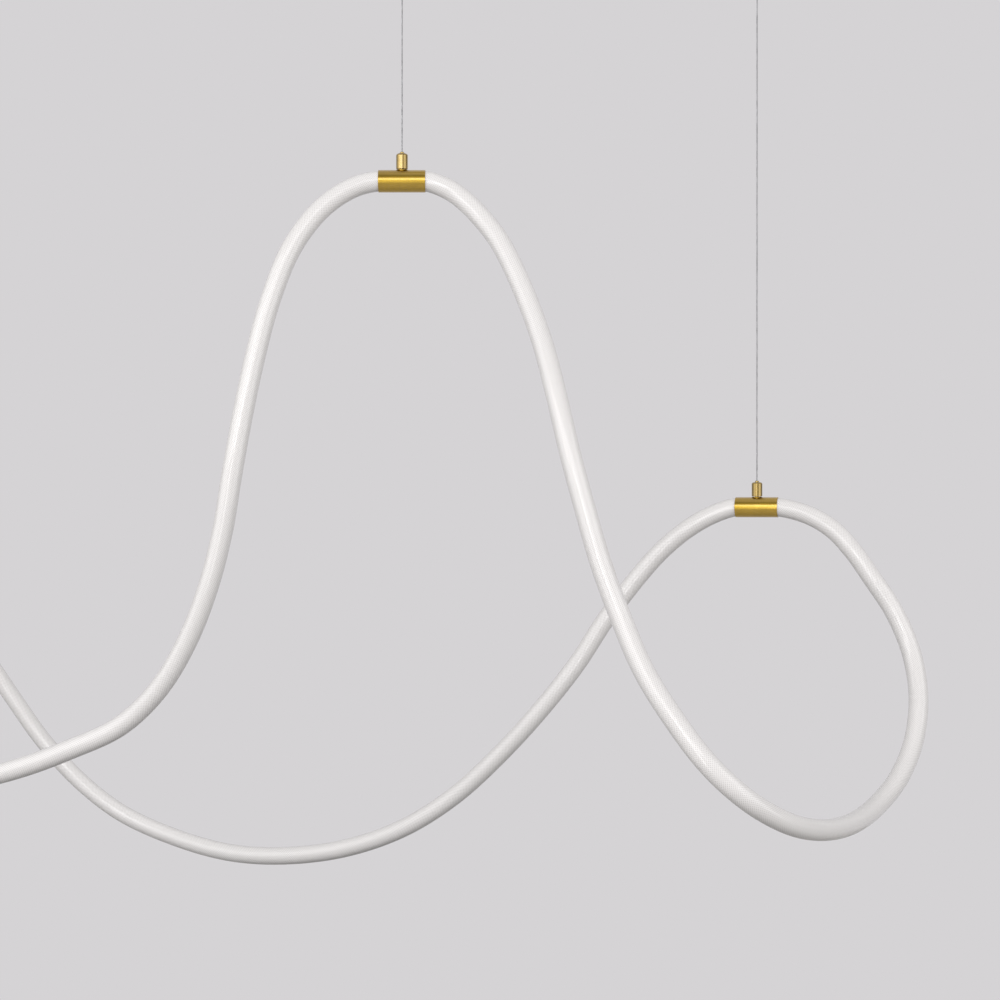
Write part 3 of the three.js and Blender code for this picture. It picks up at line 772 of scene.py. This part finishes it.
def sleeve_mesh(has_feed):
    """A thin turned sleeve along X with rolled rims, and a neck for the gripper and for the feed."""
    rim = 0.28 * MM
    lip = SLEEVE_INNER - 0.15 * MM
    lip_end = SLEEVE_HALF - 0.6 * MM
    bore_end = SLEEVE_HALF - 0.9 * MM
    mesh = lathe("sleeve", rounded([
        (lip, -SLEEVE_HALF, rim), (SLEEVE_OUTER, -SLEEVE_HALF, rim),
        (SLEEVE_OUTER, SLEEVE_HALF, rim), (lip, SLEEVE_HALF, rim),
        (lip, lip_end, 0), (SLEEVE_INNER, bore_end, 0), (SLEEVE_INNER, -bore_end, 0), (lip, -lip_end, 0),
    ]), segments=128)
    mesh.transform(Matrix.Rotation(math.pi / 2, 4, "Y"))
    mesh = add_neck(mesh, BOSS_RADIUS, STUD_HOLE, 1)
    if has_feed:
        mesh = add_neck(mesh, GLAND_FLANGE, GLAND_STEM + TOUCH_GAP, -1)
    return mesh


def stud_mesh():
    """A turned stud: foot under the sleeve's wall, shank, and a head with a driver slot."""
    edge = 0.2 * MM
    body = lathe("stud", rounded([
        (0, STUD_FOOT_BOTTOM, 0), (STUD_FOOT_RADIUS, STUD_FOOT_BOTTOM, edge),
        (STUD_FOOT_RADIUS, STUD_FOOT_TOP, edge), (STUD_RADIUS, STUD_FOOT_TOP, edge),
        (STUD_RADIUS, STUD_HEAD_BOTTOM, edge), (STUD_HEAD_RADIUS, STUD_HEAD_BOTTOM, edge),
        (STUD_HEAD_RADIUS, STUD_TOP, edge), (0, STUD_TOP, 0),
    ]), segments=64)
    slot_reach = STUD_HEAD_RADIUS + 0.8 * MM
    slot_half = 0.5 * MM
    slot_floor = STUD_TOP - 0.5 * MM
    bar = box_mesh((-slot_reach, -slot_half, slot_floor), (slot_reach, slot_half, STUD_TOP + OVERCUT))
    return cut(body, bar, "DIFFERENCE")


def plug_mesh():
    """The threaded ring in the gripper's foot, with two spanner holes."""
    edge = 0.15 * MM
    hole_radius = 0.3 * MM
    hole_depth = 1 * MM
    ring = lathe("plug", rounded([
        (STUD_HOLE, BODY_BOTTOM, edge), (PLUG_RADIUS, BODY_BOTTOM, edge),
        (PLUG_RADIUS, PLUG_TOP, edge), (STUD_HOLE, PLUG_TOP, edge),
    ]), segments=64)
    for side in (-1, 1):
        hole = rod("spanner_hole", hole_radius, BODY_BOTTOM - OVERCUT, BODY_BOTTOM + hole_depth, segments=16)
        hole.transform(Matrix.Translation((side * (STUD_HOLE + PLUG_RADIUS) / 2, 0, 0)))
        ring = cut(ring, hole, "DIFFERENCE")
    return ring


def gripper_mesh():
    """The gripper's body: straight side, domed top, and the ball taper inside."""
    edge = 0.25 * MM
    dome_steps = 14
    flat = BODY_RADIUS - DOME_RUN
    angles = [math.pi / 2 * k / dome_steps for k in range(dome_steps + 1)]
    dome = [
        (flat + DOME_RUN * math.cos(angle), SHOULDER + (BODY_TOP - SHOULDER) * math.sin(angle), 0)
        for angle in angles
    ]
    return lathe("gripper", rounded([
        (BODY_BORE, BODY_BOTTOM, edge), (BODY_RADIUS, BODY_BOTTOM, edge), *dome,
        (NOSE_HOLE, BODY_TOP, 0.2 * MM), (NOSE_HOLE, ROOF, 0), (TAPER_TOP, ROOF, 0),
        (BODY_BORE, CAGE_BOTTOM - NOSE_TRAVEL, 0),
    ]))


def cage_mesh():
    """The release nose and the ball cage below it, with a round window for each ball."""
    body = lathe("cage", rounded([
        (WIRE_HOLE, CAGE_BOTTOM, 0.1 * MM), (CAGE_RADIUS, CAGE_BOTTOM, 0.2 * MM),
        (CAGE_RADIUS, CAGE_TOP, 0.15 * MM), (NOSE_RADIUS, CAGE_TOP, 0.1 * MM),
        (NOSE_RADIUS, NOSE_TOP, 0.7 * MM), (WIRE_HOLE, NOSE_TOP, 0.3 * MM),
    ], steps=8))
    window_radius = BALL_RADIUS + 0.15 * MM
    for k in range(BALL_COUNT):
        window = rod("window", window_radius, 0, CAGE_RADIUS + OVERCUT, segments=32)
        window.transform(Matrix.Rotation(math.pi / 2, 4, "Y"))
        window.transform(Matrix.Rotation(TURN * k / BALL_COUNT, 4, "Z"))
        window.transform(Matrix.Translation((0, 0, BALL_HEIGHT)))
        body = cut(body, window, "DIFFERENCE")
    return body


def ball_mesh(k):
    """A ball in the cage's window number k."""
    work = bmesh.new()
    bmesh.ops.create_icosphere(work, subdivisions=4, radius=BALL_RADIUS)
    mesh = mesh_from(work, "ball")
    mesh.shade_smooth()
    mesh.transform(Matrix.Translation((BALL_CIRCLE, 0, BALL_HEIGHT)))
    mesh.transform(Matrix.Rotation(TURN * k / BALL_COUNT, 4, "Z"))
    return mesh


def spring_mesh():
    """A compression spring whose end turns rise less than the others."""
    share = np.linspace(0, 1, SPRING_TURNS * STEPS_PER_COIL + 1)
    rise = np.interp(share, [0, 0.14, 0.86, 1], [0, 0.1, 0.9, 1])
    angle = TURN * SPRING_TURNS * share
    line = np.stack([
        SPRING_RADIUS * np.cos(angle), SPRING_RADIUS * np.sin(angle),
        SPRING_BOTTOM + SPRING_WIRE + (SPRING_HEIGHT - 2 * SPRING_WIRE) * rise,
    ], axis=1)
    return tube_mesh("spring", line, SPRING_SIDES, SPRING_WIRE)


def make_holder(index):
    """A sleeve with its gripper, and what the gripper holds inside."""
    number = index + 1
    place = at_holder(index)
    gripper, nose = f"gripper_{number}", f"release_nose_{number}"

    add_hard_pieces(number, place, (
        ("sleeve", sleeve_mesh(index == FED_HOLDER), "lamp", sleeve_brass, "brass", "holder_sleeve"),
        ("stud", stud_mesh(), "lamp", steel, "steel", "gripper_stud"),
        ("plug", plug_mesh(), gripper, turned_brass, "brass", "gripper_plug"),
        ("gripper_shell", gripper_mesh(), gripper, turned_brass, "brass", "gripper_body"),
        ("release_nose_and_cage", cage_mesh(), nose, turned_brass, "brass", "grip_cage"),
    ))
    for k in range(BALL_COUNT):
        add_piece(
            f"ball_{number}_{k + 1}", ball_mesh(k), nose, ball_steel,
            [f"grip_ball_{number}_{k + 1}"], place)
    spring = add_piece(
        f"spring_{number}", spring_mesh(), gripper, spring_steel,
        [f"grip_spring_{number}"], place)
    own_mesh(spring)


for holder in range(len(holder_centres)):
    make_holder(holder)

# ---------------------------------------------------------------- ceiling fittings


def plate_mesh():
    """The plate against the ceiling, with a bored hub and two countersunk screw holes."""
    edge = 0.3 * MM
    sunk_radius = PLATE_HOLE + 2.1 * MM
    sunk_low = PLATE_BOTTOM - 0.5 * MM
    sunk_high = PLATE_BOTTOM + 1.6 * MM
    body = lathe("plate", rounded([
        (0, 0, 0), (0, HUB_ROOF, 0), (HUB_BORE, HUB_ROOF, 0.2 * MM), (HUB_BORE, HUB_BOTTOM, edge),
        (HUB_RADIUS, HUB_BOTTOM, edge), (HUB_RADIUS, PLATE_BOTTOM, 0.8 * MM),
        (PLATE_RADIUS, PLATE_BOTTOM, 0.6 * MM), (PLATE_RADIUS, 0, 0.15 * MM),
    ]))
    for side in (-1, 1):
        drill = lathe("drill", [
            (0, OVERCUT), (0, sunk_low), (sunk_radius, sunk_low), (PLATE_HOLE, sunk_high),
            (PLATE_HOLE, OVERCUT),
        ], segments=64)
        drill.transform(Matrix.Translation((side * PLATE_HOLE_OUT, 0, 0)))
        body = cut(body, drill, "DIFFERENCE")
    return body


def nipple_mesh():
    """The nipple: a cut thread in the hub, a knurled flange, a collar and a tapered tip."""
    thread = HUB_BORE - TOUCH_GAP
    root = thread - 0.35 * MM
    pitch = 0.8 * MM
    ridges = []
    for k in range(round((NIPPLE_TOP - FLANGE_TOP - pitch) / pitch)):
        low = FLANGE_TOP + 0.5 * pitch + k * pitch
        ridges += [(root, low, 0), (thread, low + 0.4 * pitch, 0), (thread, low + 0.6 * pitch, 0)]
    edge = 0.15 * MM
    rim = 0.25 * MM
    plain_edge, knurled_from = 0.3 * MM, 0.4 * MM
    knurl_count, knurl_depth = 48, 0.22 * MM

    def knurl(angle, radius, height):
        at_side = FLANGE_BOTTOM + plain_edge < height < FLANGE_TOP - plain_edge
        if not at_side or radius < FLANGE_RADIUS - SKIN:
            return radius
        return radius - knurl_depth * (0.5 - 0.5 * math.cos(knurl_count * angle))

    return lathe("nipple", rounded([
        (WIRE_HOLE, NIPPLE_TOP, 0.2 * MM), (WIRE_HOLE, TIP_BOTTOM, 0.35 * MM),
        (TIP_RADIUS, TIP_BOTTOM, 0.5 * MM), (COLLAR_RADIUS, COLLAR_BOTTOM, 0.6 * MM),
        (COLLAR_RADIUS, FLANGE_BOTTOM, edge), (FLANGE_RADIUS, FLANGE_BOTTOM, rim),
        (FLANGE_RADIUS, FLANGE_BOTTOM + knurled_from, 0), (FLANGE_RADIUS, FLANGE_TOP - knurled_from, 0),
        (FLANGE_RADIUS, FLANGE_TOP, rim), (root, FLANGE_TOP, 0),
        *ridges, (root, NIPPLE_TOP, 0.1 * MM),
    ]), segments=288, shape=knurl)


def cap_mesh():
    """The spun cup over the plate, open at the ceiling, with a collar hole at its bottom."""
    edge = 0.3 * MM
    inner = CAP_RADIUS - CAP_WALL
    hole = COLLAR_RADIUS + TOUCH_GAP
    return lathe("cap", rounded([
        (hole, CAP_BOTTOM, edge), (CAP_RADIUS, CAP_BOTTOM, CAP_ROUND), (CAP_RADIUS, CAP_RIM, edge),
        (inner, CAP_RIM, edge), (inner, CAP_FLOOR, CAP_ROUND - CAP_WALL), (hole, CAP_FLOOR, edge),
    ], steps=10), segments=160)


def ferrule_mesh():
    """A ferrule pressed on the wire's end in two bands."""
    middle = (FERRULE_BOTTOM + FERRULE_TOP) / 2
    band_out, band_half, band_depth = 0.6 * MM, 0.35 * MM, 0.28 * MM
    jaw_count = 6
    rings = 23
    edge = 0.2 * MM
    hole = WIRE_RADIUS + 0.05 * MM

    def pressed(angle, radius, height):
        if radius < FERRULE_RADIUS - 0.3 * MM:
            return radius
        nearness = max(0.0, 1 - abs(abs(height - middle) - band_out) / band_half)
        return radius - band_depth * nearness * (0.6 + 0.4 * math.cos(jaw_count * angle))

    heights = np.linspace(FERRULE_BOTTOM + edge, FERRULE_TOP - edge, rings)
    side = [(FERRULE_RADIUS, float(height), 0) for height in heights]
    return lathe("ferrule", rounded([
        (hole, FERRULE_BOTTOM, 0), (FERRULE_RADIUS, FERRULE_BOTTOM, edge), *side,
        (FERRULE_RADIUS, FERRULE_TOP, edge), (hole, FERRULE_TOP, 0),
    ]), segments=96, shape=pressed)


def make_ceiling_fitting(index):
    """The plate, nipple, cap and ferrule above a holder."""
    number = index + 1
    centre = holder_centres[index]
    place = Matrix.Translation((centre.x, centre.y, 0))
    add_hard_pieces(number, place, (
        ("plate", plate_mesh(), "lamp", steel, "steel", "ceiling_plate"),
        ("nipple", nipple_mesh(), "lamp", turned_brass, "brass", "ceiling_nipple"),
        ("cap", cap_mesh(), f"cap_{number}", turned_brass, "brass", "ceiling_cap"),
        ("ferrule", ferrule_mesh(), f"gripper_{number}", steel, "steel", "wire_ferrule"),
    ))


for holder in range(len(holder_centres)):
    make_ceiling_fitting(holder)

# ---------------------------------------------------------------- feed gland


def gland_mesh():
    """The gland's stem and flange, with a few thread ridges under the nut."""
    top = GLAND_TOP + 5 * MM
    bottom = NUT_TOP - 4 * MM
    root = GLAND_STEM - 0.25 * MM
    pitch = 0.8 * MM
    ridge_count = 4
    ridges = []
    for k in range(ridge_count):
        high = NUT_TOP - 0.4 * MM - k * pitch
        ridges += [(root, high, 0), (GLAND_STEM, high - 0.35 * MM, 0), (root, high - 0.7 * MM, 0)]
    ridges.reverse()
    edge = 0.15 * MM
    rim = 0.4 * MM
    return lathe("gland", rounded([
        (GLAND_BORE, bottom, edge), (root, bottom, edge), *ridges,
        (root, GLAND_FLANGE_BOTTOM, 0), (GLAND_FLANGE, GLAND_FLANGE_BOTTOM, rim),
        (GLAND_FLANGE, GLAND_TOP, rim), (GLAND_STEM, GLAND_TOP, 0), (GLAND_STEM, top, edge),
        (GLAND_BORE, top, edge),
    ]), segments=96)


def nut_mesh():
    """The gland's domed nut, ribbed for the fingers."""
    tip = 4 * MM
    drawn_in = NUT_RADIUS - 0.06 * MM
    hole = GLAND_STEM + TOUCH_GAP
    rib_count, rib_depth = 16, 0.4 * MM

    def ribbed(angle, radius, height):
        if radius < NUT_RADIUS - SKIN or height > NUT_TOP - 0.3 * MM:
            return radius
        return radius - rib_depth * (0.5 - 0.5 * math.cos(rib_count * angle)) ** 2

    return lathe("gland_nut", rounded([
        (GLAND_BORE, NUT_BOTTOM, 0.2 * MM), (tip, NUT_BOTTOM, 0.8 * MM),
        (drawn_in, NUT_SEAT - 0.2 * MM, 0.6 * MM), (NUT_RADIUS, NUT_SEAT + 0.3 * MM, 0),
        (NUT_RADIUS, NUT_TOP - 0.5 * MM, 0), (drawn_in, NUT_TOP, 0.3 * MM), (hole, NUT_TOP, 0.15 * MM),
        (hole, NUT_SEAT, 0), (GLAND_BORE, NUT_SEAT, 0),
    ]), segments=256, shape=ribbed)


for name, mesh in (("feed_gland", gland_mesh()), ("feed_gland_nut", nut_mesh())):
    even_shading(add_piece(
        f"{name}_moulded", mesh, "lamp", gland_plastic, [name], at_holder(FED_HOLDER)))

# ---------------------------------------------------------------- CAD nodes that stay in view

FINISHES = {"tube_joiner": joiner_plastic, "led_spine": led_strip}
for node_name, node in frame["nodes"].items():
    for start, material in FINISHES.items():
        if node_name.startswith(start):
            node.data.materials.clear()
            node.data.materials.append(material)

# ---------------------------------------------------------------- the studio

BACKDROP = rgb(213, 211, 213)

# The point that the softboxes face
MIDDLE = Vector((-0.1, 0.15, -0.6))

# Soft light from the room: azimuth, elevation, sharpness, strength
GLOWS = ((25, 35, 1, 0.88), (-62, 18, 4, 0.90), (120, 0, 4, 0.95), (180, 25, 8, 1.2))

# The room as polished pieces mirror it, by the X, Y and Z of a direction: the tone at each height (Z),
# where the viewer's side with those bands ends (Y), and where both sides dim (X) and to what tone
MIRRORED_BANDS = ((0.0, 1.0), (0.45, 1.0), (0.6, 0.35), (0.82, 0.4), (0.92, 1.0), (1.0, 1.0))
BANDS_END = (-0.2, 0.2)
SIDES_DIM = (0.7, 0.95)
SIDE_TONE = 0.4

FLOOR_PLACE = (0, 0.2, -2.6)
FLOOR_RADIUS = 4.5
FLOOR_COLOUR = (0.62, 0.6, 0.58, 1)

# The black card under the lamp
FLAG_PLACE = (-0.1, 0.1, -1.45)
FLAG_SIZE = (2.0, 1.4)
FLAG_COLOUR = (0.02, 0.02, 0.02, 1)

# Softboxes round the lamp: azimuth, elevation, distance, width, height, power
SOFTBOXES = {
    "left_softbox": (-62, 15, 3.2, 3.4, 2.6, 38),
    "front_strip": (-15, 20, 3.2, 3.6, 1.0, 26),
    "front_upright_strip": (-12, 0, 4.0, 0.7, 2.4, 21),
    "right_softbox": (62, 10, 3.2, 2.4, 2.4, 24),
}


def direction(azimuth, elevation):
    """The way from the lamp towards a light; azimuth 0 is the viewer's side, and 90 is the right."""
    turn, rise = math.radians(azimuth), math.radians(elevation)
    return Vector((math.sin(turn) * math.cos(rise), -math.cos(turn) * math.cos(rise), math.sin(rise)))


def glow_strength(nodes, sky):
    """How strongly the room's soft glows shine from each direction of the sky."""
    strength = 0.0
    for azimuth, elevation, sharpness, power in GLOWS:
        facing = nodes.add("ShaderNodeVectorMath", operation="DOT_PRODUCT")
        facing.inputs[1].default_value = direction(azimuth, elevation)
        nodes.link(sky, facing.inputs[0])
        glow = nodes.math("POWER", nodes.math("MAXIMUM", facing.outputs["Value"], 0.0), float(sharpness))
        strength = nodes.math("ADD", nodes.math("MULTIPLY", glow, power), strength)
    return strength


def band_tone(nodes, height):
    """The tone that a mirror shows at each height above level."""
    ramp = nodes.add("ShaderNodeValToRGB")
    nodes.link(height, ramp.inputs[0])
    bands = ramp.color_ramp.elements
    while len(bands) < len(MIRRORED_BANDS):
        bands.new(0.5)
    for band, (place, tone) in zip(bands, MIRRORED_BANDS):
        band.position = place
        band.color = (tone, tone, tone, 1)
    return ramp.outputs[0]


def seen_strength(nodes, sky, mirrored):
    """The backdrop's strength: even to the eye, but in a mirror dimmer to both sides and in the bands."""
    x, y, z = nodes.axes(sky)
    viewer_side = nodes.between(y, *BANDS_END, 1.0, 0.0, course="SMOOTHSTEP")
    above = nodes.math("MULTIPLY", nodes.math("SUBTRACT", 1.0, band_tone(nodes, z)), viewer_side)
    sides = nodes.between(nodes.math("ABSOLUTE", x), *SIDES_DIM, 0.0, 1 - SIDE_TONE, course="SMOOTHSTEP")
    dimming = nodes.math("MAXIMUM", above, sides)
    return nodes.math("SUBTRACT", 1.0, nodes.math("MULTIPLY", dimming, mirrored))


def make_world():
    """Soft glows on dull surfaces; the backdrop is what is seen, and what polished pieces mirror."""
    world = bpy.data.worlds.new("studio")
    bpy.context.scene.world = world
    world.use_nodes = True
    nodes = Nodes(world.node_tree)
    sky = nodes.coordinates("Generated")
    rays = nodes.add("ShaderNodeLightPath").outputs
    ambient = nodes.tree.nodes["Background"]
    ambient.inputs["Color"].default_value = (1, 1, 1, 1)
    nodes.link(glow_strength(nodes, sky), ambient.inputs["Strength"])
    seen = nodes.add("ShaderNodeBackground")
    seen.inputs["Color"].default_value = BACKDROP
    nodes.link(seen_strength(nodes, sky, rays["Is Glossy Ray"]), seen.inputs["Strength"])
    share = nodes.math("MAXIMUM", rays["Is Camera Ray"], rays["Is Glossy Ray"])
    share = nodes.math("MAXIMUM", share, rays["Is Transmission Ray"])
    choose = nodes.add("ShaderNodeMixShader")
    for source, socket in zip((share, ambient.outputs[0], seen.outputs[0]), choose.inputs):
        nodes.link(source, socket)
    nodes.link(choose.outputs[0], nodes.tree.nodes["World Output"].inputs[0])


def make_softbox(name, azimuth, elevation, distance, width, height, power):
    data = bpy.data.lights.new(name, "AREA")
    data.shape = "RECTANGLE"
    data.size = width
    data.size_y = height
    data.energy = power
    lamp = bpy.data.objects.new(name, data)
    lamp.location = MIDDLE + direction(azimuth, elevation) * distance
    lamp.rotation_euler = (-direction(azimuth, elevation)).to_track_quat("-Z", "Y").to_euler()
    lamp.visible_camera = False
    bpy.context.scene.collection.objects.link(lamp)


def add_stage(name, mesh, place, finish, colour, roughness):
    """A flat, dull thing in the studio that isn't part of the lamp."""
    thing = bpy.data.objects.new(name, mesh)
    thing.location = place
    bpy.context.scene.collection.objects.link(thing)
    nodes = MaterialNodes(finish)
    nodes.set(base_color=colour, roughness=roughness)
    mesh.materials.append(nodes.material)
    return thing


def make_floor():
    work = bmesh.new()
    bmesh.ops.create_circle(work, cap_ends=True, segments=96, radius=FLOOR_RADIUS)
    add_stage("floor", mesh_from(work, "floor"), FLOOR_PLACE, "pale_floor", FLOOR_COLOUR, roughness=0.8)


def make_flag():
    """A black card that keeps the floor's light off the lowest strands; only dull surfaces see it."""
    across, deep = (side / 2 for side in FLAG_SIZE)
    corners = [(-across, -deep, 0), (across, -deep, 0), (across, deep, 0), (-across, deep, 0)]
    mesh = bpy.data.meshes.new("flag")
    mesh.from_pydata(corners, [], [(0, 1, 2, 3)])
    flag = add_stage("flag", mesh, FLAG_PLACE, "black_cloth", FLAG_COLOUR, roughness=0.9)
    flag.visible_camera = flag.visible_glossy = flag.visible_transmission = flag.visible_shadow = False


make_world()
make_floor()
make_flag()
for softbox, setting in SOFTBOXES.items():
    make_softbox(softbox, *setting)
